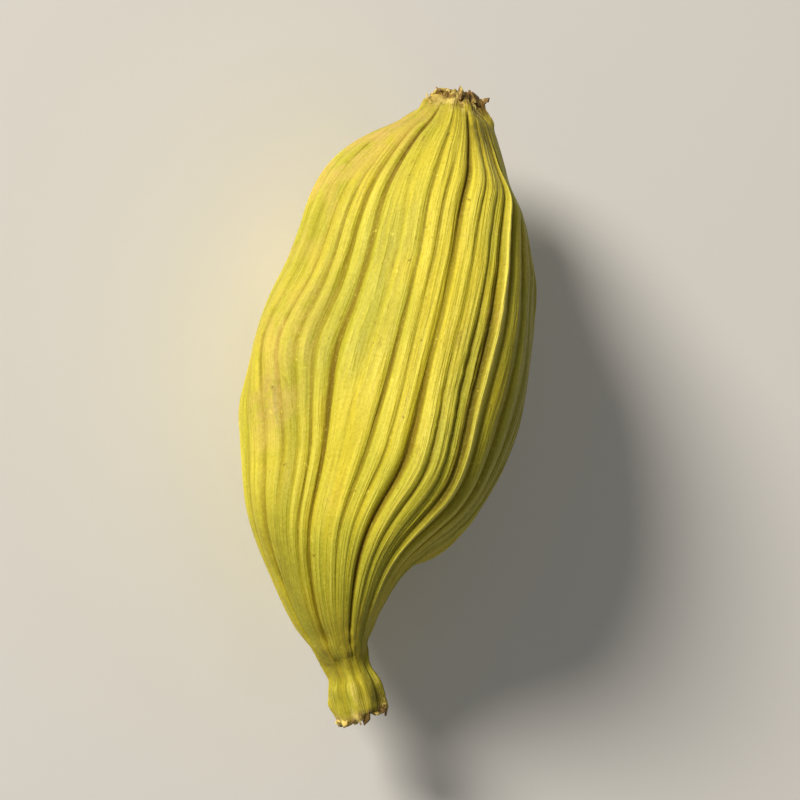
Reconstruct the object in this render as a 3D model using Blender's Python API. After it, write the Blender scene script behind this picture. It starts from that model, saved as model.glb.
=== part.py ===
"""Green cardamom pod: one dried, three-sided seed capsule lying on one of its sides.

Metres, +Z up. The pod lies along X, its rounded stalk end at -X and its slim beak at +X. The origin is
on the surface that it lies on, under the middle of the pod's box. The husk is one closed solid: three
rounded sides meet at three ridges, ribs run from end to end, the stalk has left a rough scar, and the
dry flower tube is a small hollow collar on the beak.
"""

import bisect
import math
import random
from dataclasses import dataclass

import bmesh
import bpy
from mathutils import Vector

MM = 0.001


@dataclass(frozen=True)
class Dent:
    """A soft dent in the husk: where its middle is, how wide and long it is, and how deep."""

    angle: float
    share: float
    spread: float
    reach: float
    depth: float


# Driving sizes of the whole pod
POD_LENGTH = 18.5 * MM
BELLY_RADIUS = 3.90 * MM

# Half-width of the husk against the distance from the stalk end, as shares of the two sizes above
HUSK_OUTLINE = (
    (0.034, 0.275),
    (0.048, 0.325),
    (0.072, 0.400),
    (0.111, 0.535),
    (0.180, 0.748),
    (0.248, 0.852),
    (0.330, 0.935),
    (0.455, 1.000),
    (0.557, 0.975),
    (0.642, 0.890),
    (0.722, 0.680),
    (0.788, 0.490),
    (0.850, 0.340),
    (0.890, 0.228),
    (0.918, 0.168),
)
HUSK_ROWS = 28
ROWS_NEAR_ENDS = 0.55

# Rough scar of the broken stalk, from its middle out to the husk: share of the length, radius
STALK_SCAR = (
    (0.007, 0.26 * MM),
    (0.000, 0.44 * MM),
    (0.007, 0.62 * MM),
    (0.019, 0.80 * MM),
)
SCAR_MIDDLE = 0.011
SCAR_RAGGED = 0.09 * MM

# Collar of the dry flower tube, from the neck over its rim and down to the floor of the hollow
BEAK_COLLAR = (
    (0.936, 0.60 * MM),
    (0.954, 0.73 * MM),
    (0.976, 0.79 * MM),
    (0.993, 0.74 * MM),
    (1.000, 0.63 * MM),
    (0.992, 0.50 * MM),
    (0.968, 0.42 * MM),
)
HOLLOW_FLOOR = 0.965
COLLAR_RAGGED = 0.07 * MM

# Middle line of the pod, as sideways distance against the share of the length: the pod bows to one
# side and the beak hooks back. The beak droops a little as well.
SIDEWAYS = (
    (0.00, 0.00 * MM),
    (0.07, -0.04 * MM),
    (0.15, -0.34 * MM),
    (0.22, -0.44 * MM),
    (0.32, -0.40 * MM),
    (0.50, -0.56 * MM),
    (0.62, -1.02 * MM),
    (0.73, -1.64 * MM),
    (0.80, -1.60 * MM),
    (0.88, -1.20 * MM),
    (0.94, -0.56 * MM),
    (1.00, 0.00 * MM),
)
BEAK_DROOP = -0.45 * MM
DROOP_FROM = 0.70

# Three rounded sides: where the ridges stand round the pod, and how round the section is
RIDGE_ANGLES = (math.radians(80), math.radians(206), math.radians(330))
BELLY_ROUNDNESS = 0.72
END_ROUNDNESS = 3.0
BELLY_FADE = (0.25, 0.75)

# How far the ridges have turned round the pod, against the share of the length. The ribs between them
# turn less, by the share RIB_EASE half-way between two ridges.
RIB_EASE = 0.6
RIDGE_TURN = (
    (0.00, math.radians(-7.0)),
    (0.14, math.radians(-10.5)),
    (0.21, math.radians(-6.3)),
    (0.28, math.radians(-3.0)),
    (0.36, math.radians(0.4)),
    (0.44, math.radians(2.8)),
    (0.52, math.radians(2.6)),
    (0.60, math.radians(-0.9)),
    (0.68, math.radians(-5.2)),
    (0.80, math.radians(-5.5)),
    (1.00, math.radians(-3.0)),
)

# Ribs and the grooves between them. Groove n lies between rib n and the next one.
RIBS_PER_SIDE = 13
RIB_SEED = 11
RIB_CREST = (0.018 * MM, 0.045 * MM)
RIB_GROOVE = (0.035 * MM, 0.085 * MM)
RIB_SPACING = (0.65, 1.40)
RIDGE_CRESTS = (0.13 * MM, 0.08 * MM, 0.09 * MM)
RIDGE_GROOVES = (0.09 * MM, 0.06 * MM, 0.07 * MM)
GROOVE_STARTS = (-0.02, 0.14)
GROOVE_ENDS = (0.66, 0.90)
GROOVE_FADE = 0.12
RIB_FADE = (0.50 * MM, 3.4 * MM)
PLEAT_EVERY = 4
PLEAT_DEPTH = 0.11
RIB_SWAY = 0.16
RIB_SWAY_TURNS = 7.0
RELIEF_WAVE = 0.3
CREST_WAVE_TURNS = 13.0
GROOVE_WAVE_TURNS = 11.0
RIB_PROFILE = 2.5
RIDGE_PROFILE = 1.25

# The side beside the top ridge has thin ribs near the ridge, then two broad flat pairs, with a few
# grooves much deeper than the rest. The deep ones run the whole length, and the others run out before
# the ends. Spacing from each rib to the next, then the crests and the grooves that differ from the rest.
SIDE_SPACING = (5.0, 6.6, 7.6, 10.6, 6.4, 8.6, 15.4, 12.4, 9.0, 10.0, 9.5, 12.4, 12.5)
SIDE_CRESTS = {1: 0.004 * MM, 2: 0.055 * MM, 3: 0.050 * MM, 5: 0.030 * MM, 7: 0.030 * MM}
SIDE_GROOVES = {
    0: 0.090 * MM,
    1: 0.070 * MM,
    2: 0.050 * MM,
    3: 0.180 * MM,
    4: 0.060 * MM,
    5: 0.105 * MM,
    6: 0.030 * MM,
    7: 0.145 * MM,
    8: 0.100 * MM,
    9: 0.075 * MM,
    10: 0.085 * MM,
    11: 0.060 * MM,
}
WHOLE_GROOVES = (0, 3, 5, 7)

# Seeds push the thin husk out in low swellings, and it has dried in between them. A wave is its height,
# lobes round the pod, turn along the pod and phase, then its waves along the pod and their phase.
SWELLING = 0.10 * MM
SWELLING_WAVES = ((1.0, 3, 9.0, 0.6, 14.5, 1.1), (0.6, 2, -5.0, 2.0, 23.0, 0.0))
DENTS = (
    Dent(math.radians(192), 0.33, math.radians(38), 0.080, 0.20 * MM),
    Dent(math.radians(150), 0.70, math.radians(30), 0.075, 0.16 * MM),
)

# Broken ends: how much their radius varies round them, as a share, and the waves of their edges as
# height, waves round the edge and phase
END_UNEVEN = 0.10
END_TURN = 2.0
EDGE_WAVES = ((1.0, 5, 1.0), (0.7, 9, 2.1), (0.5, 14, 0.0))

# Flat spot that the pod lies on
FLAT_SPOT_DEPTH = 0.24 * MM

COLUMNS_PER_RIB = 4
SECTION_SAMPLES = 12
DIRECTION_STEP = 0.045
HUSK_GREEN = (0.56, 0.50, 0.075, 1.0)
HUSK_ROUGHNESS = 0.58


def clear_scene():
    """Removes every object that the file opened with."""
    for old in list(bpy.data.objects):
        bpy.data.objects.remove(old)


def smooth_step(low, high, value):
    """0 at low, 1 at high and a soft S between them."""
    share = min(1.0, max(0.0, (value - low) / (high - low)))
    return share * share * (3.0 - 2.0 * share)


def smooth_through(points, position):
    """Height at position of a smooth curve through (position, height) points."""
    places = [point[0] for point in points]
    last = len(points) - 1
    index = min(last - 1, max(0, bisect.bisect_right(places, position) - 1))

    def slope(at):
        low, high = max(0, at - 1), min(last, at + 1)
        return (points[high][1] - points[low][1]) / (places[high] - places[low])

    width = places[index + 1] - places[index]
    t = (position - places[index]) / width
    start, end = points[index][1], points[index + 1][1]
    return (
        (2 * t**3 - 3 * t**2 + 1) * start
        + (t**3 - 2 * t**2 + t) * width * slope(index)
        + (3 * t**2 - 2 * t**3) * end
        + (t**3 - t**2) * width * slope(index + 1)
    )


def middle_line(share):
    """Point of the pod's middle line at a share of its length."""
    droop = BEAK_DROOP * smooth_step(DROOP_FROM, 1.0, share)
    return Vector((share * POD_LENGTH, smooth_through(SIDEWAYS, share), droop))


def ring_axes(share):
    """The two directions across the middle line, level and upward."""
    along = (middle_line(share + DIRECTION_STEP) - middle_line(share - DIRECTION_STEP)).normalized()
    level = Vector((0.0, 0.0, 1.0)).cross(along).normalized()
    return level, along.cross(level)


def following_ridge(side):
    """Angle of the ridge at the far end of a side, past a whole turn after the last side."""
    return RIDGE_ANGLES[(side + 1) % 3] + (2 * math.pi if side == 2 else 0.0)


def three_sided(angle, roundness):
    """Radius at an angle of a section with three flattened sides."""
    total = roundness
    for side, ridge in enumerate(RIDGE_ANGLES):
        total += max(0.0, math.cos(angle - (ridge + following_ridge(side)) / 2)) ** 2
    return total**-0.5


def section(angle, roundness):
    """Radius of the three-sided section at an angle, against its mean radius."""
    turns = [2 * math.pi * n / SECTION_SAMPLES for n in range(SECTION_SAMPLES)]
    mean = sum(three_sided(turn, roundness) for turn in turns) / SECTION_SAMPLES
    return three_sided(angle, roundness) / mean


class Ribs:
    """Ribs of the husk. Rib n has its crest at n and its grooves at n - 0.5 and n + 0.5."""

    def __init__(self):
        draw = random.Random(RIB_SEED)
        self.count = 3 * RIBS_PER_SIDE
        spacing = [draw.uniform(*RIB_SPACING) for _ in range(self.count)]
        self.crests = [draw.uniform(*RIB_CREST) for _ in range(self.count)]
        self.grooves = [draw.uniform(*RIB_GROOVE) for _ in range(self.count)]
        self.phases = [draw.uniform(0.0, 2 * math.pi) for _ in range(self.count)]
        self.starts = [draw.uniform(*GROOVE_STARTS) for _ in range(self.count)]
        self.ends = [draw.uniform(*GROOVE_ENDS) for _ in range(self.count)]
        for side, ridge in enumerate(range(0, self.count, RIBS_PER_SIDE)):
            self.crests[ridge] = RIDGE_CRESTS[side]
            self.grooves[ridge] = RIDGE_GROOVES[side]
            self.grooves[ridge - 1] = RIDGE_GROOVES[side]
        spacing[:RIBS_PER_SIDE] = SIDE_SPACING
        for rib, height in SIDE_CRESTS.items():
            self.crests[rib] = height
        for groove, depth in SIDE_GROOVES.items():
            self.grooves[groove] = depth
        self.angles = self.crest_angles(spacing)

    def crest_angles(self, spacing):
        """Angle of every crest: the ribs of a side share the angle between its two ridges."""
        angles = []
        for side, ridge in enumerate(RIDGE_ANGLES):
            own = spacing[side * RIBS_PER_SIDE : (side + 1) * RIBS_PER_SIDE]
            turn = (following_ridge(side) - ridge) / sum(own)
            angles += [ridge + turn * sum(own[:rib]) for rib in range(RIBS_PER_SIDE)]
        return angles + [angles[0] + 2 * math.pi]

    def angle(self, place, share):
        """Angle round the pod at a place counted in ribs, which sways a little along the pod."""
        sway = RIB_SWAY * math.sin(2 * math.pi * place / RIBS_PER_SIDE + RIB_SWAY_TURNS * share)
        sway *= math.sin(math.pi * share) * math.sin(math.pi * place / RIBS_PER_SIDE) ** 2
        swayed = (place + sway) % self.count
        rib = int(swayed)
        straight = self.angles[rib] + (self.angles[rib + 1] - self.angles[rib]) * (swayed - rib)
        ease = RIB_EASE * math.sin(math.pi * place / RIBS_PER_SIDE) ** 4
        return straight + smooth_through(RIDGE_TURN, share) * (1.0 - ease)

    def running(self, groove, share):
        """1 where a groove runs at its full depth, and 0 beyond the places where it has run out."""
        if groove in WHOLE_GROOVES:
            return 1.0
        start, end = self.starts[groove], self.ends[groove]
        begun = smooth_step(start, start + GROOVE_FADE, share)
        return begun * (1.0 - smooth_step(end, end + GROOVE_FADE, share))

    def relief(self, place, share, radius):
        """Height of the husk's surface over its smooth form."""
        rib = math.floor(place + 0.5) % self.count
        across = (place + 0.5) % 1.0 - 0.5
        groove = rib if across >= 0 else (rib - 1) % self.count
        fine = smooth_step(*RIB_FADE, radius)
        crest_wave = 1.0 + RELIEF_WAVE * math.sin(CREST_WAVE_TURNS * share + self.phases[rib])
        groove_wave = 1.0 + RELIEF_WAVE * math.sin(GROOVE_WAVE_TURNS * share + self.phases[groove])
        crest = self.crests[rib] * fine * crest_wave
        depth = self.grooves[groove] * fine * groove_wave * self.running(groove, share)
        if groove % PLEAT_EVERY == PLEAT_EVERY - 1:
            depth += PLEAT_DEPTH * radius * (1.0 - fine)
        profile = RIDGE_PROFILE if rib % RIBS_PER_SIDE < 2 else RIB_PROFILE
        toward_groove = (2.0 * abs(across)) ** profile
        return crest * (1.0 - toward_groove) - depth * toward_groove


def angle_between(a, b):
    """Smallest angle between two directions."""
    return abs((a - b + math.pi) % (2 * math.pi) - math.pi)


def dented(dent, angle, share):
    """How far one dent draws the husk in."""
    across = angle_between(angle, dent.angle) / dent.spread
    along = (share - dent.share) / dent.reach
    return dent.depth * math.exp(-across * across - along * along)


def swellings(angle, share, radius):
    """Low swellings over the seeds and the dents between them."""
    wave = 0.0
    for height, lobes, turn, phase, beats, start in SWELLING_WAVES:
        wave += height * math.sin(lobes * angle + turn * share + phase) * math.sin(beats * share + start)
    drawn_in = sum(dented(dent, angle, share) for dent in DENTS)
    return SWELLING * wave * smooth_step(*RIB_FADE, radius) - drawn_in


def ragged(angle):
    """Uneven height of a broken edge, from -1 to 1."""
    total = sum(height * math.sin(waves * angle + phase) for height, waves, phase in EDGE_WAVES)
    return total / sum(height for height, _, _ in EDGE_WAVES)


def husk_ring(ribs, share, columns):
    """Points of one ring of the ribbed husk."""
    radius = BELLY_RADIUS * smooth_through(HUSK_OUTLINE, share)
    belly = smooth_step(*BELLY_FADE, radius / BELLY_RADIUS)
    roundness = END_ROUNDNESS + (BELLY_ROUNDNESS - END_ROUNDNESS) * belly
    level, upward = ring_axes(share)
    points = []
    for column in range(columns):
        place = column * ribs.count / columns
        angle = ribs.angle(place, share)
        reach = radius * section(angle, roundness)
        reach += ribs.relief(place, share, radius) + swellings(angle, share, radius)
        points.append(middle_line(share) + reach * (level * math.cos(angle) + upward * math.sin(angle)))
    return points


def end_ring(ribs, share, radius, columns, rough):
    """Points of one ring of the stalk scar or the collar, with a ragged edge."""
    level, upward = ring_axes(share)
    along = level.cross(upward)
    points = []
    for column in range(columns):
        angle = ribs.angle(column * ribs.count / columns, share)
        reach = radius * (1.0 + END_UNEVEN * ragged(angle + END_TURN))
        outward = level * math.cos(angle) + upward * math.sin(angle)
        points.append(middle_line(share) + reach * outward + rough * ragged(angle) * along)
    return points


def husk_shares():
    """Shares of the length where the husk has a ring, closer together near both ends."""
    first, last = HUSK_OUTLINE[0][0], HUSK_OUTLINE[-1][0]
    shares = []
    for row in range(HUSK_ROWS):
        even = row / (HUSK_ROWS - 1)
        eased = (1.0 - math.cos(math.pi * even)) / 2
        shares.append(first + (last - first) * (ROWS_NEAR_ENDS * eased + (1.0 - ROWS_NEAR_ENDS) * even))
    return shares


def pod_rings(ribs):
    """Every ring of the pod, from the middle of the scar to the floor of the collar's hollow."""
    full = COLUMNS_PER_RIB * ribs.count
    rings = [[middle_line(SCAR_MIDDLE)]]
    for index, (share, radius) in enumerate(STALK_SCAR):
        columns = full // 4 if index == 0 else full // 2
        rings.append(end_ring(ribs, share, radius, columns, SCAR_RAGGED))
    for share in husk_shares():
        radius = BELLY_RADIUS * smooth_through(HUSK_OUTLINE, share)
        rings.append(husk_ring(ribs, share, full if radius > RIB_FADE[0] else full // 2))
    for index, (share, radius) in enumerate(BEAK_COLLAR):
        columns = full // 4 if index == len(BEAK_COLLAR) - 1 else full // 2
        rings.append(end_ring(ribs, share, radius, columns, COLLAR_RAGGED * min(1, index)))
    return rings + [[middle_line(HOLLOW_FLOOR)]]


def lay_on_surface(rings):
    """Moves the rings so that the pod lies on z = 0 over the origin, and presses its flat spot."""
    points = [point for ring in rings for point in ring]
    low = Vector(tuple(min(point[axis] for point in points) for axis in range(3)))
    high = Vector(tuple(max(point[axis] for point in points) for axis in range(3)))
    origin = Vector(((low.x + high.x) / 2, (low.y + high.y) / 2, low.z + FLAT_SPOT_DEPTH))
    for point in points:
        point -= origin
        point.z = max(0.0, point.z)


def bridge(mesh, near, far):
    """Joins two rings of vertices with faces. One ring may have half as many as the other, or one."""
    if len(near) < len(far):
        near, far = far, near
    count, times = len(near), len(near) // len(far)
    for index in range(count):
        following = (index + 1) % count
        start, end = far[index // times], far[(following // times) % len(far)]
        corners = [near[index], near[following], end, start]
        mesh.faces.new(corners if start is not end else corners[:3])


def material(name, colour, roughness):
    """A plain dielectric finish."""
    finish = bpy.data.materials.new(name)
    finish.use_nodes = True
    shader = finish.node_tree.nodes["Principled BSDF"]
    shader.inputs["Base Color"].default_value = colour
    shader.inputs["Roughness"].default_value = roughness
    shader.inputs["Metallic"].default_value = 0.0
    return finish


def add_pod():
    """The whole pod as one solid."""
    rings = pod_rings(Ribs())
    lay_on_surface(rings)
    solid = bmesh.new()
    vertices = [[solid.verts.new(point) for point in ring] for ring in rings]
    for near, far in zip(vertices, vertices[1:]):
        bridge(solid, near, far)
    bmesh.ops.recalc_face_normals(solid, faces=solid.faces)
    shape = bpy.data.meshes.new("cardamom_pod")
    solid.to_mesh(shape)
    solid.free()
    shape.shade_smooth()
    shape.materials.append(material("husk", HUSK_GREEN, HUSK_ROUGHNESS))
    pod = bpy.data.objects.new("cardamom_pod", shape)
    bpy.context.scene.collection.objects.link(pod)
    return pod


clear_scene()
add_pod()
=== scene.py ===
"""Green cardamom pod, dressed: the ribbed husk, its two dry ends and a plain studio.

The husk follows the same form as the solid that it stands for: three rounded sides round a bowed
middle line, ribs from end to end, a stalk scar and a hollow collar. Geometry nodes raise the ribs
and the fine wrinkles, and grow the frayed fibres at both ends.
"""

from __future__ import annotations

import logging
import math
import random
from collections.abc import Callable, Mapping, Sequence
from dataclasses import dataclass, field
from enum import Enum

import bpy
import numpy as np
from mathutils import Matrix, Vector


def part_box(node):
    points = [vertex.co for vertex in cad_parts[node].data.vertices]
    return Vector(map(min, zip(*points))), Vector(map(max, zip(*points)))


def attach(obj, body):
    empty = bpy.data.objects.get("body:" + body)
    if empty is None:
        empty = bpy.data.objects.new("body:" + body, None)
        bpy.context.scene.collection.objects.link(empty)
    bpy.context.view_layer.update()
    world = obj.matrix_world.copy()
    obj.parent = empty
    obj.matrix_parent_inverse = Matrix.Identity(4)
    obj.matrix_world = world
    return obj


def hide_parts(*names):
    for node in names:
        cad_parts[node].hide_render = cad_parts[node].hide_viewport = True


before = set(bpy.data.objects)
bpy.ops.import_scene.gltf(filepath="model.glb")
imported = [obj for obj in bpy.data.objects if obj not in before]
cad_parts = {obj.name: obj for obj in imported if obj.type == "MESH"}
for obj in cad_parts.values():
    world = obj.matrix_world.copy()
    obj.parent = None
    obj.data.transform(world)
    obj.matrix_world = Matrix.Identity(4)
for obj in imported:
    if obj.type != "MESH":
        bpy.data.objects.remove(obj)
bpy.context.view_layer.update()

log = logging.getLogger("cardamom_pod")

MM = 0.001
DEGREE = math.radians(1.0)
WHOLE_TURN = 2 * math.pi
BODY = "root"
NODE = "cardamom_pod"
# Waves of a broken edge: how many go round the pod, how high they are, and where they start.
RAGGED_WAVES = ((5, 1.0, 1.0), (9, 0.7, 2.1), (14, 0.5, 0.0))

Outline = tuple[tuple[float, float], ...]
Span = tuple[float, float]
Direction = tuple[float, float, float]
Tint = tuple[float, float, float]
Colour = tuple[float, float, float, float]
Settings = Mapping[str, object]
Inputs = Mapping[int | str, object]


class End(Enum):
    """The two dry ends of the pod."""

    STALK = "stalk"
    BEAK = "beak"


class Mask(Enum):
    """Attributes that the husk's mesh carries for its ribs and its finish."""

    PLACE = "rib_place"
    OUTWARD = "outward"
    FIBRES = "fibre_space"
    CREST = "crest_height"
    GROOVE = "groove_depth"
    PLEAT = "pleat_depth"
    PROFILE = "rib_profile"
    FINE = "fine_relief"
    DRY = "dryness"
    ROSY_AND_HIGHLIGHT = "rosy_and_highlight"
    HOLLOW = "hollow"
    IN_GROOVE = "in_groove"
    ON_CREST = "on_crest"
    IN_LINE = "in_line"
    SHADED_FLANK = "ridge_flank"
    BROWNED_AND_SHADED = "browned_and_shaded"
    RIPE_AND_SHADE = "ripeness_and_shade"
    CRINKLED = "crinkled"


def operator(operation: str, reflected: bool = False) -> Callable[[Wire, Wire | float], Wire]:
    """Makes the method of an operator on wires, which adds a Math node.

    Args:
        operation: The Math node's operation.
        reflected: Whether the wire is the operator's second value.

    Returns:
        The method.
    """

    def method(self: Wire, other: Wire | float) -> Wire:
        """Adds the node and takes its result."""
        values = {0: other, 1: self} if reflected else {0: self, 1: other}
        return self.writer.wire("ShaderNodeMath", {"operation": operation}, values)

    return method


class Wire:
    """One output of a node. Its operators, and the least and most of two, add Math nodes."""

    def __init__(self, writer: NodeWriter, socket: bpy.types.NodeSocket) -> None:
        """Keeps the output socket and the writer of its tree."""
        self.writer = writer
        self.socket = socket

    __add__, __radd__ = operator("ADD"), operator("ADD", reflected=True)
    __sub__, __rsub__ = operator("SUBTRACT"), operator("SUBTRACT", reflected=True)
    __mul__, __rmul__ = operator("MULTIPLY"), operator("MULTIPLY", reflected=True)
    __truediv__, __rtruediv__ = operator("DIVIDE"), operator("DIVIDE", reflected=True)
    __pow__, __rpow__ = operator("POWER"), operator("POWER", reflected=True)
    __mod__ = operator("FLOORED_MODULO")
    least, most = operator("MINIMUM"), operator("MAXIMUM")

    def __neg__(self) -> Wire:
        """The value with its sign turned."""
        return self * -1.0

    def __abs__(self) -> Wire:
        """The value without its sign."""
        return self.writer.wire("ShaderNodeMath", {"operation": "ABSOLUTE"}, {0: self})

    def rise(self, low: float, high: float) -> Wire:
        """Soft step: 0 where the value is below low, 1 above high, and an S between them."""
        settings = {"interpolation_type": "SMOOTHSTEP"}
        return self.writer.wire("ShaderNodeMapRange", settings, {0: self, 1: low, 2: high})


class NodeWriter:
    """Adds nodes to one shader tree or geometry tree."""

    def __init__(self, tree: bpy.types.NodeTree) -> None:
        """Keeps the tree to write into."""
        self.tree = tree

    def add(
        self, kind: str, settings: Settings | None = None, inputs: Inputs | None = None
    ) -> bpy.types.Node:
        """Adds one node of any type.

        Args:
            kind: The node's type.
            settings: The node's own settings, set before its sockets.
            inputs: Values or wires of its input sockets.

        Returns:
            The node.
        """
        node = self.tree.nodes.new(kind)
        for name, value in (settings or {}).items():
            setattr(node, name, value)
        for key, value in (inputs or {}).items():
            if isinstance(value, Wire):
                self.tree.links.new(value.socket, node.inputs[key])
            else:
                node.inputs[key].default_value = value
        return node

    def wire(
        self,
        kind: str,
        settings: Settings | None = None,
        inputs: Inputs | None = None,
        output: int | str = 0,
    ) -> Wire:
        """Adds one node, as add does, and takes the output of this index or name."""
        return Wire(self, self.add(kind, settings, inputs).outputs[output])

    def vector(self, operation: str, first: object, second: object) -> Wire:
        """Adds a Vector Math node on two vectors, or on a vector and the factor of SCALE."""
        inputs = {0: first, 3 if operation == "SCALE" else 1: second}
        return self.wire("ShaderNodeVectorMath", {"operation": operation}, inputs)

    def drawn_out(self, fibres: Wire, share: float) -> Wire:
        """Place in fibre space with its length shortened, so that noise on it makes streaks."""
        return self.vector("MULTIPLY", fibres, (1.0, 1.0, share))

    def noise(self, place: Wire, scale: float, detail: float = 2.0, roughness: float = 0.5) -> Wire:
        """Noise of about 0.5: features a unit, octaves of finer noise, and how much those count."""
        inputs = {"Vector": place, "Scale": scale, "Detail": detail, "Roughness": roughness}
        return self.wire("ShaderNodeTexNoise", None, inputs)

    def mixed(self, factor: Wire | float, first: Wire | Colour, second: Wire | Colour) -> Wire:
        """Mixes two colours, with the factor as the share of the second."""
        inputs = {0: factor, 6: first, 7: second}
        return self.wire("ShaderNodeMix", {"data_type": "RGBA"}, inputs, 2)


class GeometryWriter(NodeWriter):
    """Writes a geometry tree whose group has named inputs."""

    def __init__(self, name: str) -> None:
        """Makes the tree with its geometry sockets.

        Args:
            name: Name of the tree.
        """
        super().__init__(bpy.data.node_groups.new(name, "GeometryNodeTree"))
        for way in ("INPUT", "OUTPUT"):
            kind = "NodeSocketGeometry"
            self.tree.interface.new_socket("Geometry", in_out=way, socket_type=kind)
        self.entry = self.add("NodeGroupInput")

    def geometry(self) -> Wire:
        """The geometry that comes in."""
        return Wire(self, self.entry.outputs["Geometry"])

    def size(self, name: str, kind: str = "NodeSocketFloat") -> Wire:
        """Adds a named input with this type of socket, and takes its value."""
        self.tree.interface.new_socket(name, in_out="INPUT", socket_type=kind)
        return Wire(self, self.entry.outputs[name])

    def read(self, mask: Mask, kind: str = "FLOAT") -> Wire:
        """Reads an attribute of this data type."""
        settings = {"data_type": kind}
        return self.wire("GeometryNodeInputNamedAttribute", settings, {"Name": mask.value})

    def store(self, geometry: Wire, mask: Mask, value: Wire) -> Wire:
        """The geometry with a number stored for each of its points."""
        inputs = {"Geometry": geometry, "Name": mask.value, "Value": value}
        return self.wire("GeometryNodeStoreNamedAttribute", {"data_type": "FLOAT"}, inputs)

    def swing(self, noise: Wire, height: Wire) -> Wire:
        """Noise turned into a distance that swings by about a height to both sides."""
        return (noise - 0.5) * height * 2.0

    def random(self, low: float, high: float, seed: int) -> Wire:
        """A random number from low to high for each point."""
        settings = {"data_type": "FLOAT"}
        return self.wire("FunctionNodeRandomValue", settings, {2: low, 3: high, 8: seed}, 1)

    def spot(self) -> Wire:
        """Place of each point, in millimetres."""
        return self.vector("SCALE", self.wire("GeometryNodeInputPosition"), 1.0 / MM)

    def moved(self, geometry: Wire, direction: Wire, distance: Wire) -> Wire:
        """The geometry with every point moved by a distance in its direction."""
        inputs = {"Geometry": geometry, "Offset": self.vector("SCALE", direction, distance)}
        return self.wire("GeometryNodeSetPosition", None, inputs)

    def end(self, geometry: Wire, material: Wire) -> None:
        """Ends the tree: instances become real, and the material is set.

        Args:
            geometry: The finished geometry.
            material: Its material.
        """
        real = self.wire("GeometryNodeRealizeInstances", None, {"Geometry": geometry})
        inputs = {"Geometry": real, "Material": material}
        dressed = self.wire("GeometryNodeSetMaterial", None, inputs)
        self.add("NodeGroupOutput", None, {"Geometry": dressed})

    def apply(self, source: bpy.types.Object, sizes: Mapping[str, object]) -> bpy.types.Mesh:
        """Runs the tree on an object and returns the result as a plain mesh.

        Args:
            source: The object that the tree starts from. It is removed.
            sizes: Values of the named inputs.

        Returns:
            The evaluated mesh.
        """
        modifier = source.modifiers.new(self.tree.name, "NODES")
        modifier.node_group = self.tree
        for item in self.tree.interface.items_tree:
            if item.in_out == "INPUT" and item.name in sizes:
                modifier[item.identifier] = sizes[item.name]
        evaluated = source.evaluated_get(bpy.context.evaluated_depsgraph_get())
        mesh = bpy.data.meshes.new_from_object(evaluated)
        bpy.data.objects.remove(source)
        return mesh


class ShaderWriter(NodeWriter):
    """Writes the shader tree of one material."""

    def __init__(self, name: str) -> None:
        """Makes the material and empties its tree.

        Args:
            name: Name of the material.
        """
        self.material = bpy.data.materials.new(name)
        self.material.use_nodes = True
        super().__init__(self.material.node_tree)
        self.tree.nodes.clear()

    def number(self, mask: Mask) -> Wire:
        """The number that an attribute holds."""
        return self.wire("ShaderNodeAttribute", {"attribute_name": mask.value}, None, "Fac")

    def direction(self, mask: Mask) -> Wire:
        """The vector that an attribute holds."""
        return self.wire("ShaderNodeAttribute", {"attribute_name": mask.value}, None, "Vector")

    def spot(self) -> Wire:
        """Place on the object, in millimetres."""
        return self.vector("SCALE", self.wire("ShaderNodeTexCoord", None, None, "Object"), 1.0 / MM)

    def bump(self, height: Wire, distance: float) -> Wire:
        """Normal bumped by a height from 0 to 1, where 1 means a distance in metres."""
        return self.wire("ShaderNodeBump", None, {"Height": height, "Distance": distance})

    def end(self, inputs: Inputs) -> bpy.types.Material:
        """Ends the tree with a Principled BSDF.

        Args:
            inputs: Values or wires of the shader's sockets.

        Returns:
            The material.
        """
        shader = self.wire("ShaderNodeBsdfPrincipled", None, inputs)
        self.add("ShaderNodeOutputMaterial", None, {"Surface": shader})
        return self.material


def placed(name: str, data: bpy.types.ID) -> bpy.types.Object:
    """Makes an object of its data and links it to the scene.

    Args:
        name: Name of the object.
        data: Its mesh, light or camera.

    Returns:
        The object.
    """
    thing = bpy.data.objects.new(name, data)
    bpy.context.scene.collection.objects.link(thing)
    return thing


def store_on(mesh: bpy.types.Mesh, mask: Mask, values: np.ndarray) -> None:
    """Stores an attribute on a mesh.

    Args:
        mesh: The mesh.
        mask: Which attribute it is.
        values: A number for each point, or a vector if there are columns.
    """
    kind, field_name = ("FLOAT", "value") if values.ndim == 1 else ("FLOAT_VECTOR", "vector")
    attribute = mesh.attributes.new(mask.value, kind, "POINT")
    attribute.data.foreach_set(field_name, values.astype(np.float32).reshape(-1))


def scaled(unit: float, *points: Span) -> Outline:
    """Points of a curve whose heights are given in a unit."""
    return tuple((place, height * unit) for place, height in points)


def soft_step(low: float, high: float, value: np.ndarray) -> np.ndarray:
    """Soft step of an array: 0 below low, 1 above high, and an S between them."""
    share = np.clip((value - low) / (high - low), 0.0, 1.0)
    return share * share * (3.0 - 2.0 * share)


def smooth_through(points: Outline, positions: np.ndarray) -> np.ndarray:
    """Reads a smooth curve through (position, height) points.

    Args:
        points: The points, in order.
        positions: Where the curve is read.

    Returns:
        The heights there.
    """
    places, heights = np.array(points).T
    last = len(points) - 1
    low = np.maximum(np.arange(last + 1) - 1, 0)
    high = np.minimum(np.arange(last + 1) + 1, last)
    slopes = (heights[high] - heights[low]) / (places[high] - places[low])
    index = np.clip(np.searchsorted(places, positions, side="right") - 1, 0, last - 1)
    width = places[index + 1] - places[index]
    t = (positions - places[index]) / width
    return (
        (2 * t**3 - 3 * t**2 + 1) * heights[index]
        + (t**3 - 2 * t**2 + t) * width * slopes[index]
        + (3 * t**2 - 2 * t**3) * heights[index + 1]
        + (t**3 - t**2) * width * slopes[index + 1]
    )


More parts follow.
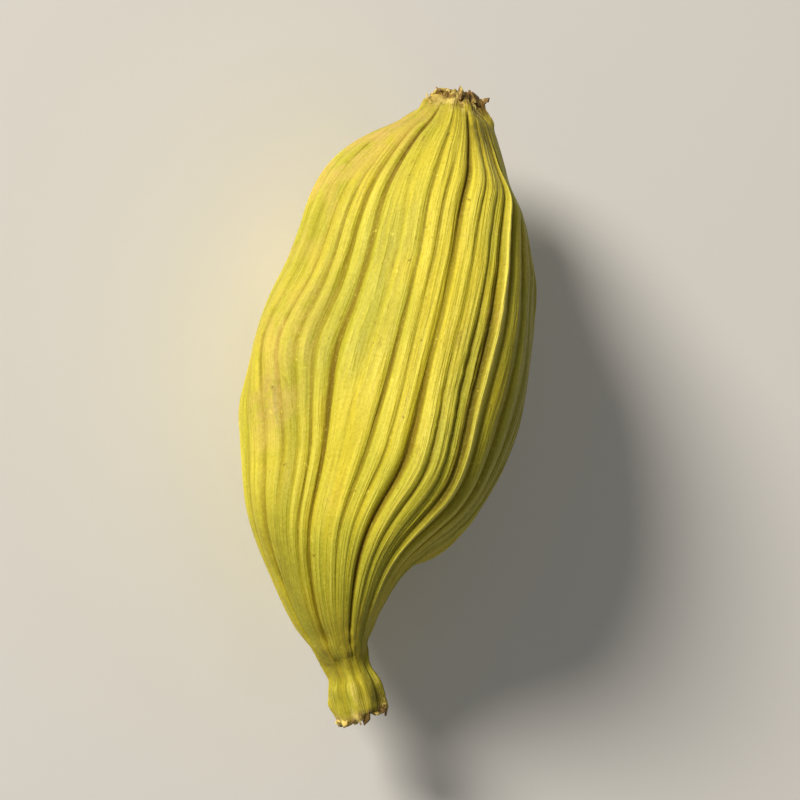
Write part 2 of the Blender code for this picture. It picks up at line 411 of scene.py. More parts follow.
def ragged(angle: np.ndarray) -> np.ndarray:
    """Uneven height of a broken edge at angles round the pod, from -1 to 1."""
    waves = sum(height * np.sin(count * angle + start) for count, height, start in RAGGED_WAVES)
    return waves / sum(height for _, height, _ in RAGGED_WAVES)


@dataclass(frozen=True)
class Spot:
    """A soft spot on the husk: its middle, how far it spreads round and along, and its strength.

    The angle and the spread are in degrees. The share and the reach are shares of the length.
    """

    angle: float
    share: float
    spread: float
    reach: float
    strength: float

    def felt_at(self, angle: np.ndarray, share: np.ndarray) -> np.ndarray:
        """How strongly the spot is felt.

        Args:
            angle: Angle round the pod.
            share: Share of the pod's length.

        Returns:
            The strength at each place.
        """
        turned = (angle - self.angle * DEGREE + math.pi) % WHOLE_TURN - math.pi
        across = np.abs(turned) / (self.spread * DEGREE)
        along = (share - self.share) / self.reach
        return self.strength * np.exp(-across * across - along * along)


@dataclass(frozen=True)
class PodForm:
    """The pod's smooth form: its sizes, bowed middle line, three-sided section and two ends."""

    length: float = 18.5 * MM
    belly_radius: float = 3.90 * MM
    outline: Outline = (
        (0.034, 0.275), (0.048, 0.325), (0.072, 0.400), (0.111, 0.535), (0.180, 0.748),
        (0.248, 0.852), (0.330, 0.935), (0.455, 1.000), (0.557, 0.975), (0.642, 0.890),
        (0.722, 0.680), (0.788, 0.490), (0.850, 0.340), (0.890, 0.228), (0.918, 0.168),
    )
    stalk_scar: Outline = scaled(MM, (0.007, 0.26), (0.000, 0.44), (0.007, 0.62), (0.019, 0.80))
    scar_middle: float = 0.011
    scar_ragged: float = 0.09 * MM
    beak_collar: Outline = scaled(
        MM,
        (0.936, 0.60), (0.954, 0.73), (0.976, 0.79), (0.993, 0.74),
        (1.000, 0.63), (0.992, 0.50), (0.968, 0.42),
    )
    hollow_floor: float = 0.965
    collar_ragged: float = 0.07 * MM
    end_uneven: float = 0.10
    uneven_start: float = 2.0
    sideways: Outline = scaled(
        MM,
        (0.00, 0.00), (0.07, -0.04), (0.15, -0.34), (0.22, -0.44), (0.32, -0.40), (0.50, -0.56),
        (0.62, -1.02), (0.73, -1.64), (0.80, -1.60), (0.88, -1.20), (0.94, -0.56), (1.00, 0.00),
    )
    beak_droop: float = -0.45 * MM
    droop_from: float = 0.70
    ridges: tuple[float, ...] = (80 * DEGREE, 206 * DEGREE, 330 * DEGREE)
    belly_roundness: float = 0.72
    end_roundness: float = 3.0
    belly_from: Span = (0.25, 0.75)
    swelling: float = 0.10 * MM
    # Height, waves round the pod, twist along it, start, beats along it, and their start.
    swell_waves: tuple[tuple[float, ...], ...] = (
        (1.0, 3.0, 9.0, 0.6, 14.5, 1.1),
        (0.6, 2.0, -5.0, 2.0, 23.0, 0.0),
    )
    dents: tuple[Spot, ...] = (
        Spot(192, 0.33, 38, 0.080, 0.20 * MM),
        Spot(150, 0.70, 30, 0.075, 0.16 * MM),
    )
    relief_fade: Span = (0.50 * MM, 3.4 * MM)
    direction_step: float = 0.045
    section_samples: int = 12

    def middle_line(self, share: np.ndarray) -> np.ndarray:
        """Points of the middle line at shares of the length, with their coordinates last."""
        droop = self.beak_droop * soft_step(self.droop_from, 1.0, share)
        return np.stack([share * self.length, smooth_through(self.sideways, share), droop], axis=-1)

    def ring_axes(self, share: np.ndarray) -> tuple[np.ndarray, np.ndarray, np.ndarray]:
        """Directions at places along the middle line.

        Args:
            share: Shares of the length.

        Returns:
            The level, the upward and the lengthwise direction.
        """
        step = self.direction_step
        along = self.middle_line(share + step) - self.middle_line(share - step)
        along /= np.linalg.norm(along, axis=-1, keepdims=True)
        level = np.cross([0.0, 0.0, 1.0], along)
        level /= np.linalg.norm(level, axis=-1, keepdims=True)
        return level, np.cross(along, level), along

    def following_ridge(self, side: int) -> float:
        """Angle of the ridge at the far end of a side, past a whole turn after the last side."""
        return self.ridges[(side + 1) % 3] + (WHOLE_TURN if side == 2 else 0.0)

    def three_sided(self, angle: np.ndarray, roundness: np.ndarray) -> np.ndarray:
        """Radius of a section with three flattened sides.

        Args:
            angle: Angle round the pod.
            roundness: How round the section is.

        Returns:
            The radius, not yet made even.
        """
        total = roundness
        for side, ridge in enumerate(self.ridges):
            middle = (ridge + self.following_ridge(side)) / 2
            total = total + np.maximum(0.0, np.cos(angle - middle)) ** 2
        return total**-0.5

    def section(self, angle: np.ndarray, share: np.ndarray) -> np.ndarray:
        """Radius of the husk's section against its mean radius.

        Args:
            angle: Angle round the pod.
            share: Share of the length.

        Returns:
            The radius as a share of the mean.
        """
        belly = soft_step(*self.belly_from, smooth_through(self.outline, share))
        roundness = self.end_roundness + (self.belly_roundness - self.end_roundness) * belly
        turns = [WHOLE_TURN * n / self.section_samples for n in range(self.section_samples)]
        mean = sum(self.three_sided(turn, roundness) for turn in turns) / self.section_samples
        return self.three_sided(angle, roundness) / mean

    def uneven(self, angle: np.ndarray) -> np.ndarray:
        """How far a broken end reaches at an angle, against a round ring."""
        return 1.0 + self.end_uneven * ragged(angle + self.uneven_start)

    def fade(self, radius: np.ndarray) -> np.ndarray:
        """How much of the relief a place of this radius carries, from 0 to 1."""
        return soft_step(*self.relief_fade, radius)

    def swellings(self, angle: np.ndarray, share: np.ndarray, radius: np.ndarray) -> np.ndarray:
        """Low swellings over the seeds, and the dents between them.

        Args:
            angle: Angle round the pod.
            share: Share of the length.
            radius: Radius of the husk there.

        Returns:
            Heights over the smooth form.
        """
        wave = sum(
            height * np.sin(turns * angle + twist * share + start) * np.sin(beats * share + beat)
            for height, turns, twist, start, beats, beat in self.swell_waves
        )
        drawn_in = sum(dent.felt_at(angle, share) for dent in self.dents)
        return self.swelling * wave * self.fade(radius) - drawn_in


@dataclass
class RibTable:
    """The ribs round the pod. Rib n has its crest at n, and groove n lies between it and the next.

    The crests and grooves of the side that is seen best are set one by one, in millimetres.
    """

    form: PodForm
    per_side: int = 13
    seed: int = 11
    crest: Span = (0.018 * MM, 0.045 * MM)
    groove: Span = (0.035 * MM, 0.085 * MM)
    spacing: Span = (0.65, 1.40)
    ridge_crests: tuple[float, ...] = (0.13 * MM, 0.08 * MM, 0.09 * MM)
    ridge_grooves: tuple[float, ...] = (0.09 * MM, 0.06 * MM, 0.07 * MM)
    groove_starts: Span = (-0.02, 0.14)
    groove_ends: Span = (0.66, 0.90)
    groove_fade: float = 0.12
    sway: float = 0.16
    sway_turns: float = 7.0
    rib_ease: float = 0.6
    ridge_turn: Outline = scaled(
        DEGREE,
        (0.00, -7.0), (0.14, -10.5), (0.21, -6.3), (0.28, -3.0), (0.36, 0.4), (0.44, 2.8),
        (0.52, 2.6), (0.60, -0.9), (0.68, -5.2), (0.80, -5.5), (1.00, -3.0),
    )
    relief_wave: float = 0.3
    crest_wave_turns: float = 13.0
    groove_wave_turns: float = 11.0
    rib_profile: float = 2.5
    ridge_profile: float = 1.25
    ridge_ribs: int = 2
    pleat_every: int = 4
    pleat_depth: float = 0.11
    whole_grooves: tuple[int, ...] = (0, 3, 5, 7)
    side_spacing: tuple[float, ...] = (
        5.0, 6.6, 7.6, 10.6, 6.4, 8.6, 15.4, 12.4, 9.0, 10.0, 9.5, 12.4, 12.5
    )
    side_crests: tuple[tuple[int, float], ...] = (
        (1, 0.004), (2, 0.055), (3, 0.050), (5, 0.030), (7, 0.030)
    )
    side_grooves: tuple[float, ...] = (
        0.090, 0.070, 0.050, 0.180, 0.060, 0.105, 0.030, 0.145, 0.100, 0.075, 0.085, 0.060
    )

    def __post_init__(self) -> None:
        """Draws the uneven spacing, heights and depths, and sets those of the side seen best."""
        draw = random.Random(self.seed)
        self.count = 3 * self.per_side
        spacing, crests, grooves = (
            [draw.uniform(*span) for _ in range(self.count)]
            for span in (self.spacing, self.crest, self.groove)
        )
        self.phases, self.starts, self.ends = (
            np.array([draw.uniform(*span) for _ in range(self.count)])
            for span in ((0.0, WHOLE_TURN), self.groove_starts, self.groove_ends)
        )
        for side, ridge in enumerate(range(0, self.count, self.per_side)):
            crests[ridge] = self.ridge_crests[side]
            grooves[ridge] = grooves[ridge - 1] = self.ridge_grooves[side]
        spacing[: self.per_side] = self.side_spacing
        for rib, height in self.side_crests:
            crests[rib] = height * MM
        for groove, depth in enumerate(self.side_grooves):
            grooves[groove] = depth * MM
        self.crests = np.array(crests)
        self.grooves = np.array(grooves)
        self.angles = self.crest_angles(spacing)

    def crest_angles(self, spacing: Sequence[float]) -> np.ndarray:
        """Angle of every crest: the ribs of a side share the angle between its two ridges.

        Args:
            spacing: Distance from each rib to the next, against each other.

        Returns:
            The angles, with the first one repeated a turn later.
        """
        angles = []
        for side, ridge in enumerate(self.form.ridges):
            own = spacing[side * self.per_side : (side + 1) * self.per_side]
            turn = (self.form.following_ridge(side) - ridge) / sum(own)
            angles += [ridge + turn * sum(own[:rib]) for rib in range(self.per_side)]
        return np.array(angles + [angles[0] + WHOLE_TURN])

    def angle(self, place: np.ndarray, share: np.ndarray) -> np.ndarray:
        """Angle round the pod at a place counted in ribs.

        Args:
            place: Place round the pod, counted in ribs.
            share: Share of the length.

        Returns:
            The angle, which sways a little along the pod.
        """
        turn = math.pi * place / self.per_side
        sway = self.sway * np.sin(2 * turn + self.sway_turns * share)
        sway = sway * np.sin(math.pi * share) * np.sin(turn) ** 2
        swayed = (place + sway) % self.count
        rib = swayed.astype(int)
        straight = self.angles[rib] + (self.angles[rib + 1] - self.angles[rib]) * (swayed - rib)
        ease = self.rib_ease * np.sin(turn) ** 4
        return straight + smooth_through(self.ridge_turn, share) * (1.0 - ease)

    def running(self, groove: np.ndarray, share: np.ndarray) -> np.ndarray:
        """Where a groove runs at its full depth.

        Args:
            groove: Number of the groove.
            share: Share of the length.

        Returns:
            1 on the groove, and 0 beyond the places where it has run out.
        """
        start, end = self.starts[groove], self.ends[groove]
        begun = soft_step(start, start + self.groove_fade, share)
        partly = begun * (1.0 - soft_step(end, end + self.groove_fade, share))
        return np.where(np.isin(groove, self.whole_grooves), 1.0, partly)

    def waving(self, turns: float, share: np.ndarray, rib: np.ndarray) -> np.ndarray:
        """Factor by which the relief of a rib or groove waves along the pod."""
        return 1.0 + self.relief_wave * np.sin(turns * share + self.phases[rib])

    def relief(
        self, place: np.ndarray, share: np.ndarray, radius: np.ndarray
    ) -> dict[Mask, np.ndarray]:
        """What the geometry nodes need to raise the ribs.

        Args:
            place: Place round the pod, counted in ribs.
            share: Share of the length.
            radius: Radius of the husk there.

        Returns:
            Crest height, groove depth, pleat depth and profile of the nearest rib, for each point.
        """
        rib = np.floor(place + 0.5).astype(int) % self.count
        across = (place + 0.5) % 1.0 - 0.5
        groove = np.where(across >= 0, rib, (rib - 1) % self.count)
        fine = self.form.fade(radius)
        crest_wave = self.waving(self.crest_wave_turns, share, rib)
        groove_wave = self.waving(self.groove_wave_turns, share, groove)
        pleated = groove % self.pleat_every == self.pleat_every - 1
        beside_ridge = rib % self.per_side < self.ridge_ribs
        return {
            Mask.CREST: self.crests[rib] * fine * crest_wave,
            Mask.GROOVE: self.grooves[groove] * fine * groove_wave * self.running(groove, share),
            Mask.PLEAT: np.where(pleated, self.pleat_depth * radius * (1.0 - fine), 0.0),
            Mask.PROFILE: np.where(beside_ridge, self.ridge_profile, self.rib_profile),
        }


@dataclass(frozen=True)
class HuskFinish:
    """Dry yellow-green husk: pale crests partly as painted highlight, olive grooves and a ridge
    flank partly as painted shade, fine streaks, specks, tan ends, painted shade in the hollow.
    """

    yellow: Colour = (0.69, 0.575, 0.022, 1.0)
    green: Colour = (0.42, 0.410, 0.020, 1.0)
    pale: Colour = (0.92, 0.81, 0.11, 1.0)
    mustard: Colour = (0.56, 0.40, 0.028, 1.0)
    olive: Colour = (0.30, 0.235, 0.007, 1.0)
    deep_green_and_shade: Colour = (0.24, 0.225, 0.007, 1.0)
    brown: Colour = (0.235, 0.155, 0.006, 1.0)
    # Shadow brown: painted shade in the deepest grooves and on the ridge flank, and the colour of
    # scorched marks.
    shadow_and_scorch_brown: Colour = (0.110, 0.080, 0.003, 1.0)
    tan: Colour = (0.80, 0.65, 0.17, 1.0)
    rose_tan: Colour = (0.70, 0.49, 0.12, 1.0)
    umber: Colour = (0.21, 0.120, 0.022, 1.0)
    hollow_shade: Colour = (0.035, 0.019, 0.009, 1.0)
    dark_grain: float = 1.3
    pale_grain: float = 0.9
    ripe_paling: float = 0.30
    greening_and_shade: float = 0.75
    crest_paling_and_highlight: float = 0.60
    line_darkening_and_shade: float = 0.50
    groove_olive_and_shade: float = 0.88
    groove_brown_and_shade: float = 0.82
    groove_shadow_brown: float = 0.60
    flank_shade_olive: float = 0.85
    flank_shade_brown: float = 0.75
    browned_and_shaded_most: float = 0.80
    rosy_and_highlight_most: float = 0.85
    rosy_clouds: float = 0.22
    mustard_most: float = 0.50
    hair_paling: float = 0.34
    hair_olive: float = 0.40
    streak_brown: float = 0.45
    speck_brown: float = 0.70
    speck_pale: float = 0.45
    roughness: Span = (0.42, 0.66)
    dullness: float = 0.30
    bump: float = 0.034 * MM
    ior: float = 1.45
    specular: float = 0.34

    def material(self) -> bpy.types.Material:
        """Builds the material."""
        return HuskShader(self).painted()


class HuskShader(ShaderWriter):
    """Paints the husk in layers: its ground, its ribs, its marks and its dry ends."""

    def __init__(self, look: HuskFinish) -> None:
        """Makes the material, and the places and streaks that its layers share.

        Args:
            look: Colours and gloss of the husk.
        """
        super().__init__("cardamom_husk")
        self.look = look
        self.here = self.spot()
        self.fibres = self.direction(Mask.FIBRES)
        drawn = self.drawn_out(self.fibres, 0.05)
        self.streak = self.noise(drawn, 4.2, 3.0, 0.6).rise(0.32, 0.68)
        self.hair = self.noise(drawn, 13.0, 2.0, 0.6).rise(0.30, 0.70)

    def painted(self) -> bpy.types.Material:
        """Lays all the layers and ends the tree.

        Returns:
            The material.
        """
        look = self.look
        grain = self.noise(self.here, 11.0, 4.0, 0.65)
        colour = self.marks(self.ribs(self.ground()))
        colour = self.mixed((grain - 0.5).most(0.0) * look.dark_grain, colour, look.olive)
        colour = self.mixed((0.5 - grain).most(0.0) * look.pale_grain, colour, look.pale)
        low, high = look.roughness
        dull = (self.number(Mask.IN_GROOVE) + self.number(Mask.SHADED_FLANK)).least(1.0) * look.dullness
        height = self.streak * 0.25 + self.hair * 0.50 + grain * 0.25
        return self.end(
            {
                "Base Color": self.dry_ends(colour),
                "Roughness": grain * (high - low) + low + dull,
                "Normal": self.bump(height, look.bump),
                "IOR": look.ior,
                "Specular IOR Level": look.specular,
            }
        )

    def ground(self) -> Wire:
        """Yellow and green of the husk, in streaks along the ribs.

        Returns:
            The colour.
        """
        look, streak, hair = self.look, self.streak, self.hair
        bands = self.noise(self.drawn_out(self.fibres, 0.10), 0.9, 2.0)
        clouds = self.noise(self.here, 0.35, 3.0, 0.6)
        ripe_and_shade = self.number(Mask.RIPE_AND_SHADE)
        greenness = (bands * 0.55 + clouds * 0.45 - ripe_and_shade * 0.16).rise(0.38, 0.60)
        colour = self.mixed(greenness * 0.80 + streak * 0.20, look.yellow, look.green)
        mustard = (1.0 - clouds).rise(0.50, 0.68) * (1.0 - streak) * look.mustard_most
        colour = self.mixed(mustard, colour, look.mustard)
        colour = self.mixed(ripe_and_shade.most(0.0) * look.ripe_paling, colour, look.pale)
        # Negative spots turn deep green: a greener tone, and at 48 degrees painted shade on the
        # side away from the light.
        colour = self.mixed((-ripe_and_shade).rise(0.0, 1.0) * look.greening_and_shade, colour, look.deep_green_and_shade)
        colour = self.mixed(hair * streak * look.hair_paling, colour, look.pale)
        shadow = (1.0 - hair) * (1.0 - streak) * look.hair_olive
        return self.mixed(shadow, colour, look.olive)

    def ribs(self, colour: Wire) -> Wire:
        """Paler crests, partly painted highlight; darker grooves and fine lines, partly painted
        shade; and painted shade in olive and shadow brown on the flank of the top ridge.

        Args:
            colour: Colour so far.

        Returns:
            The colour.
        """
        look, streak, hair = self.look, self.streak, self.hair
        # Crests paled: partly pale veins, partly painted highlight on the rib tops.
        crest = self.number(Mask.ON_CREST) * (streak * 0.7 + 0.3)
        colour = self.mixed(crest * look.crest_paling_and_highlight, colour, look.pale)
        # Fine lines and grooves darken with their depth: partly the husk's own olive-brown, partly
        # painted shade in the creases.
        line = self.number(Mask.IN_LINE) * (hair * 0.7 + 0.5)
        colour = self.mixed(line.rise(0.10, 0.90) * look.line_darkening_and_shade, colour, look.olive)
        groove = self.number(Mask.IN_GROOVE) * (streak * 0.6 + 0.55)
        # Painted shade: the flank beside the top ridge is darkened to olive and then shadow brown.
        flank = self.number(Mask.SHADED_FLANK) * (hair * 0.35 + streak * 0.25 + 0.55)
        for factor, tint in (
            (groove.rise(0.05, 0.50) * look.groove_olive_and_shade, look.olive),
            (groove.rise(0.48, 1.15) * look.groove_brown_and_shade, look.brown),
            (groove.rise(0.95, 1.55) * look.groove_shadow_brown, look.shadow_and_scorch_brown),
            (flank.least(look.flank_shade_olive), look.olive),
            (flank.rise(0.50, 1.00) * look.flank_shade_brown, look.shadow_and_scorch_brown),
        ):
            colour = self.mixed(factor, colour, tint)
        return colour

    def marks(self, colour: Wire) -> Wire:
        """Rosy patches, partly a painted warm highlight on the lit edge; brown streaks and spots;
        browning, partly painted shade at the stalk end; and pale dots.

        Args:
            colour: Colour so far.

        Returns:
            The colour.
        """
        look = self.look
        cloud = self.noise(self.here, 1.1, 4.0, 0.65)
        lined = self.noise(self.drawn_out(self.fibres, 0.25), 3.6, 3.0, 0.7)
        dots = self.noise(self.here, 4.8, 2.0, 0.5)
        # Rosy tint, partly a painted warm highlight along the lit edge.
        rosy_and_highlight = self.number(Mask.ROSY_AND_HIGHLIGHT) * cloud.rise(0.36, 0.60)
        rosy_and_highlight = rosy_and_highlight + cloud.rise(0.62, 0.74) * look.rosy_clouds
        patchy = lined.rise(0.36, 0.62) * 0.7 + cloud.rise(0.36, 0.60) * 0.5
        # The browning mixes in the shadow brown: brown dry marks, and partly painted shade at the
        # stalk end.
        for factor, tint in (
            (rosy_and_highlight.least(look.rosy_and_highlight_most), look.rose_tan),
            (lined.rise(0.62, 0.74) * look.streak_brown, look.brown),
            ((self.number(Mask.BROWNED_AND_SHADED) * patchy).least(look.browned_and_shaded_most), look.shadow_and_scorch_brown),
            (dots.rise(0.72, 0.78) * look.speck_brown, look.brown),
            ((1.0 - dots).rise(0.68, 0.78) * look.speck_pale, look.pale),
        ):
            colour = self.mixed(factor, colour, tint)
        return colour

    def dry_ends(self, colour: Wire) -> Wire:
        """Tan where the husk runs out into its two dry ends, and painted shade, nearly black,
        inside the hollow.

        Args:
            colour: Colour so far.

        Returns:
            The colour.
        """
        look, dryness = self.look, self.number(Mask.DRY)
        mottle = self.noise(self.here, 2.6, 5.0, 0.68)
        creep = (mottle - 0.5) * 1.1 + (self.streak - 0.5) * 0.35
        creep = creep + self.number(Mask.IN_GROOVE) * 0.25
        dry = (dryness + creep).rise(0.28, 0.80) * dryness.rise(0.0, 0.15)
        crust = self.mixed(mottle.rise(0.42, 0.60), look.rose_tan, look.tan)
        # Umber mottles the crust; the browning mask, partly painted shade, adds to it.
        shade = (1.0 - mottle) + self.number(Mask.BROWNED_AND_SHADED) * 0.16
        crust = self.mixed(shade.rise(0.50, 0.64), crust, look.umber)
        colour = self.mixed(dry, colour, crust)
        # Painted shade: nearly black inside the collar's hollow.
        return self.mixed(self.number(Mask.HOLLOW), colour, look.hollow_shade)


@dataclass(frozen=True)
class FibreFinish:
    """Dry plant fibre: tan with browner stretches, browner on one side partly as painted shade."""

    light: Colour = (0.80, 0.62, 0.16, 1.0)
    deep: Colour = (0.21, 0.12, 0.025, 1.0)
    browning_and_shade: float = 0.16
    roughness: float = 0.6
    uneven_roughness: float = 0.2
    bump: float = 0.010 * MM

    def material(self) -> bpy.types.Material:
        """Builds the material.

        Returns:
            The material.
        """
        writer = ShaderWriter("dry_fibre")
        place = writer.spot()
        blend = writer.noise(place, 3.0, 3.0, 0.6)
        grain = writer.noise(place, 30.0, 2.0, 0.6)
        lightness = blend - writer.number(Mask.BROWNED_AND_SHADED) * self.browning_and_shade
        return writer.end(
            {
                "Base Color": writer.mixed(lightness.rise(0.34, 0.56), self.deep, self.light),
                "Roughness": grain * self.uneven_roughness + self.roughness,
                "Normal": writer.bump(grain, self.bump),
            }
        )


@dataclass(frozen=True)
class FloorFinish:
    """Pale matt studio floor, with a faint unevenness."""

    pale: Colour = (0.92, 0.905, 0.88, 1.0)
    deeper: Colour = (0.88, 0.865, 0.84, 1.0)
    cloud_scale: float = 0.02
    roughness: float = 0.8

    def material(self) -> bpy.types.Material:
        """Builds the material.

        Returns:
            The material.
        """
        writer = ShaderWriter("studio_floor")
        cloud = writer.noise(writer.spot(), self.cloud_scale, 2.0)
        colour = writer.mixed(cloud, self.pale, self.deeper)
        return writer.end({"Base Color": colour, "Roughness": self.roughness})


@dataclass
class Husk:
    """The husk with its stalk scar and collar, as one closed fine mesh."""

    form: PodForm
    ribs: RibTable
    finish: HuskFinish = field(default_factory=HuskFinish)
    columns_per_rib: int = 14
    scar_rings: int = 26
    husk_rings: int = 126
    collar_rings: int = 32
    end_blend: Span = (-1.0, 5.0)
    # Rosy spots: a rosy tint, and along the lit left edge near 180 degrees partly a painted warm
    # highlight.
    rosy_and_highlight: tuple[Spot, ...] = (
        Spot(172, 0.10, 34, 0.09, 0.85),
        Spot(196, 0.22, 24, 0.08, 0.55),
        Spot(182, 0.46, 20, 0.12, 0.40),
        Spot(181, 0.61, 12, 0.06, 0.80),
        Spot(300, 0.35, 40, 0.14, 0.45),
    )
    ripe_and_shade: tuple[Spot, ...] = (
        Spot(106, 0.20, 38, 0.130, 1.00),
        Spot(120, 0.55, 22, 0.120, 0.45),
        # Painted shade: this spot darkens the side beyond the top ridge, which faces away from the
        # key light, towards deep green.
        Spot(48, 0.48, 30, 0.260, -1.00),
        Spot(345, 0.40, 28, 0.160, 0.70),
        Spot(164, 0.46, 13, 0.200, -0.50),
        Spot(120, 0.84, 60, 0.070, -0.45),
        Spot(290, 0.62, 30, 0.160, 0.60),
    )
    crinkled: tuple[Spot, ...] = (
        Spot(94, 0.52, 8, 0.110, 1.00),
        Spot(175, 0.72, 16, 0.080, 0.60),
        Spot(20, 0.66, 24, 0.080, 0.60),
        Spot(130, 0.045, 50, 0.030, 0.60),
    )
    # Browned spots: brown dry marks, and at the stalk end on the side away from the key light (near
    # 35 and 82 degrees) partly painted shade.
    browned_and_shaded: tuple[Spot, ...] = (
        Spot(35, 0.00, 70, 0.040, 1.00),
        Spot(82, 0.065, 20, 0.040, 0.90),
        Spot(180, 0.79, 22, 0.050, 0.60),
        Spot(150, 0.900, 60, 0.035, 0.36),
        Spot(60, 0.975, 30, 0.018, 0.90),
        Spot(255, 0.60, 24, 0.090, 0.50),
        Spot(180, 0.600, 11, 0.045, 0.34),
    )
    # Where the painted shade beside the top ridge lies, round the pod in ribs and along it.
    flank_place: tuple[float, ...] = (0.05, 0.25, 0.85, 1.25)
    flank_share: tuple[float, ...] = (0.18, 0.40, 0.66, 0.80)
    dry_stalk: Span = (0.066, 0.006)
    dry_beak: Span = (0.875, 1.0)
    beak_dryness: float = 0.30
    dry_rim: Span = (0.975, 0.998)
    rim_dryness: float = 0.85
    hollow_from: float = 0.55
    hollow_radius: Span = (0.56 * MM, 0.40 * MM)
    flat_spot_depth: float = 0.24 * MM
    lines_per_rib: float = 3.0
    line_depth: float = 0.034 * MM
    vein_height: float = 0.034 * MM
    wrinkle_height: float = 0.022 * MM
    crinkle_height: float = 0.085 * MM
    crust_height: float = 0.150 * MM
    knob_height: float = 0.190 * MM
    full_groove: float = 0.13 * MM
    full_crest: float = 0.06 * MM
    groove_from: float = 0.60
    crest_from: float = 0.35
    line_wander: float = 2.2
    line_sharpness: float = 2.2
    line_patches: Span = (0.42, 0.66)
    vein_stretch: float = 0.06
    wander_stretch: float = 0.3
    wrinkle_stretch: float = 0.55
    relief_at_ends: float = 0.25
    knobs_from: float = 0.80

    def profile(self) -> np.ndarray:
        """Share of the length and radius of every ring.

        Returns:
            One row for each ring, from the scar's middle to the hollow's floor.
        """
        form = self.form
        first, last = form.outline[0][0], form.outline[-1][0]
        even = np.linspace(0.0, 1.0, self.husk_rings)
        eased = (1.0 - np.cos(math.pi * even)) / 2
        shares = first + (last - first) * (eased + even) / 2
        husk = np.stack([shares, form.belly_radius * smooth_through(form.outline, shares)], axis=1)
        middle, floor = (form.scar_middle, 0.0), (form.hollow_floor, 0.0)
        scar = self.through([middle, *form.stalk_scar, tuple(husk[0])], self.scar_rings)
        collar = self.through([tuple(husk[-1]), *form.beak_collar, floor], self.collar_rings)
        return np.concatenate([scar[1:-1], husk, collar[1:-1]])

    def through(self, points: Sequence[Span], count: int) -> np.ndarray:
        """Points of a smooth curve through others, at even steps.

        Args:
            points: The points that it passes through.
            count: How many points to return.

        Returns:
            The points.
        """
        corners = np.array(points)
        steps = np.linalg.norm(np.diff(corners * [self.form.length, 1.0], axis=0), axis=1)
        lengths = np.concatenate([[0.0], np.cumsum(steps)])
        at = np.linspace(0.0, lengths[-1], count)
        curves = [tuple(zip(lengths, corners[:, axis])) for axis in range(2)]
        return np.stack([smooth_through(curve, at) for curve in curves], axis=1)

    def base(self) -> bpy.types.Object:
        """The smooth form as a mesh that carries what the geometry nodes need.

        Returns:
            The object.
        """
        form, ribs = self.form, self.ribs
        rings = self.profile()
        columns = self.columns_per_rib * ribs.count
        place = np.tile(np.arange(columns) / self.columns_per_rib, (len(rings), 1))
        share = np.repeat(rings[:, :1], columns, axis=1)
        radius = np.repeat(rings[:, 1:], columns, axis=1)
        order = np.arange(len(rings))[:, None]
        first = self.scar_rings - 2
        from_ends = np.minimum(order - first, first + self.husk_rings - 1 - order)
        husk = np.broadcast_to(soft_step(*self.end_blend, from_ends), place.shape)
        angle = ribs.angle(place, share)
        level, upward, along = form.ring_axes(share)
        outward = level * np.cos(angle)[..., None] + upward * np.sin(angle)[..., None]
        reach = radius * (husk * form.section(angle, share) + (1.0 - husk) * form.uneven(angle))
        reach = reach + husk * form.swellings(angle, share, radius)
        rough = np.where(share > 0.5, form.collar_ragged, form.scar_ragged)
        rough = rough * (1.0 - husk) * ragged(angle)
        points = form.middle_line(share) + outward * reach[..., None] + along * rough[..., None]
        masks = ribs.relief(place, share, radius)
        for mask in (Mask.CREST, Mask.GROOVE, Mask.PLEAT):
            masks[mask] = masks[mask] * husk
        for mask, spots in {
            Mask.ROSY_AND_HIGHLIGHT: self.rosy_and_highlight,
            Mask.BROWNED_AND_SHADED: self.browned_and_shaded,
            Mask.RIPE_AND_SHADE: self.ripe_and_shade,
            Mask.CRINKLED: self.crinkled,
        }.items():
            masks[mask] = sum(spot.felt_at(angle, share) for spot in spots)
        masks[Mask.FINE] = husk * form.fade(radius)
        masks[Mask.DRY] = self.dryness(share, husk)
        masks[Mask.HOLLOW] = self.hollow(order, radius)
        masks[Mask.SHADED_FLANK] = self.flank(place, share)
        masks[Mask.PLACE] = place
        turn = WHOLE_TURN * place / ribs.count
        around = form.belly_radius / MM
        fibre = [around * np.cos(turn), around * np.sin(turn), share * form.length / MM]
        masks[Mask.OUTWARD] = outward
        masks[Mask.FIBRES] = np.stack(fibre, axis=-1)
        return self.mesh_object(points, masks)

    def dryness(self, share: np.ndarray, husk: np.ndarray) -> np.ndarray:
        """How dry and tan the husk is.

        Args:
            share: Share of the length.
            husk: 1 on the husk and 0 on its two ends.

        Returns:
            0 on green husk and 1 on the dry ends.
        """
        stalk_side = soft_step(*self.dry_stalk, share)
        beak_side = self.beak_dryness * soft_step(*self.dry_beak, share)
        rim = self.rim_dryness * soft_step(*self.dry_rim, share) * (1.0 - husk)
        return np.where(share > 0.5, np.maximum(rim, beak_side), stalk_side)

    def flank(self, place: np.ndarray, share: np.ndarray) -> np.ndarray:
        """Where the painted shade on the flank beside the top ridge lies.

        Args:
            place: Place round the pod, counted in ribs.
            share: Share of the length.

        Returns:
            0 outside and 1 on the flank.
        """
        near, full, fading, far = self.flank_place
        begins, begun, ends, ended = self.flank_share
        across = soft_step(near, full, place) * (1.0 - soft_step(fading, far, place))
        return across * soft_step(begins, begun, share) * (1.0 - soft_step(ends, ended, share))

    def hollow(self, order: np.ndarray, radius: np.ndarray) -> np.ndarray:
        """Where rings of this number and radius lie inside the collar's hollow, from 0 to 1."""
        rim = self.scar_rings + self.husk_rings + self.hollow_from * self.collar_rings
        return np.where(order > rim, soft_step(*self.hollow_radius, radius), 0.0)

